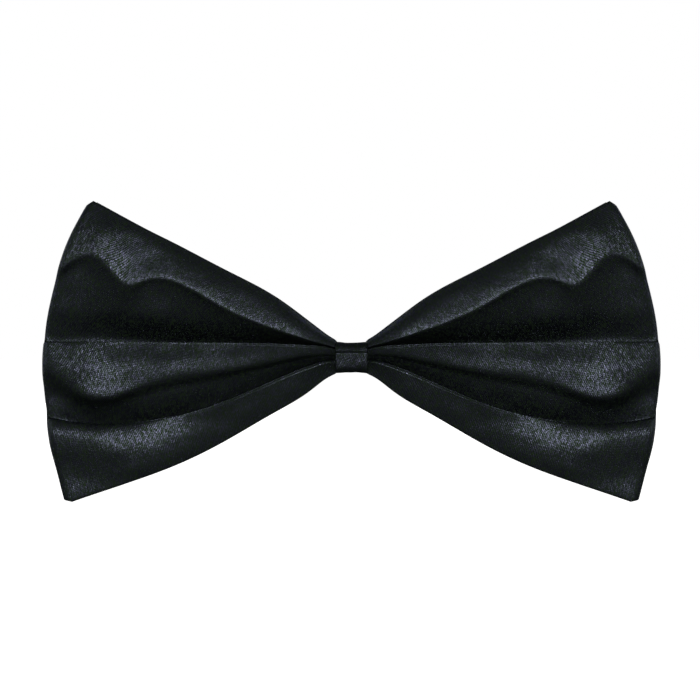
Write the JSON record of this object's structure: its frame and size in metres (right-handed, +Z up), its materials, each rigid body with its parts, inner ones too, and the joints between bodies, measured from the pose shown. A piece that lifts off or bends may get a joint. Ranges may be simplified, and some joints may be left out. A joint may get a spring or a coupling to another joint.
{
  "type": "clip-on bow tie",
  "caption": "Pre-tied satin bow tie: a gathered fabric loop held by a narrow wrapped knot, on a metal collar clip with two sprung jaws.",
  "frame": {"origin": "middle of the collar seat, behind the knot: the plane the collar leaf lies on, midway between the two jaws", "axes": "+X to the right as seen from the front and along the bow's width, +Z up as worn, -Y to the viewer and +Y to the wearer"},
  "size_m": [0.131, 0.0172, 0.0639],
  "materials": {
    "satin": "satin weave, soft sheen",
    "interlining": "matt nonwoven",
    "thread": "polyester thread",
    "plated_steel": "nickel plated",
    "spring_wire": "drawn wire"
  },
  "bodies": {
    "bow": {"bow_satin": "satin", "bow_interlining": "interlining", "gathering_thread": "thread", "knot_interlining": "interlining", "knot_wrap": "satin", "closing_stitch_1": "thread", "closing_stitch_2": "thread", "closing_stitch_3": "thread", "closing_stitch_4": "thread", "clip_plate": "plated_steel", "clip_pin_right": "plated_steel", "clip_pin_left": "plated_steel", "clip_spring_right": "spring_wire", "clip_spring_left": "spring_wire"},
    "jaw_right": {"clip_jaw_right": "plated_steel"},
    "jaw_left": {"clip_jaw_left": "plated_steel"}
  },
  "joints": [
    {"name": "jaw_right_hinge", "type": "hinge", "parent": "bow", "child": "jaw_right", "pos_m": [0.0115, 0.002, 0], "axis": [0, 0, 1], "range_deg": [0, 35], "stiffness_Nm_per_rad": 0.05, "springref_deg": -45.84, "deforming": ["clip_spring_right"]},
    {"name": "jaw_left_hinge", "type": "hinge", "parent": "bow", "child": "jaw_left", "pos_m": [-0.0115, 0.002, 0], "axis": [0, 0, -1], "range_deg": [0, 35], "stiffness_Nm_per_rad": 0.05, "springref_deg": -45.84, "deforming": ["clip_spring_left"]}
  ]
}
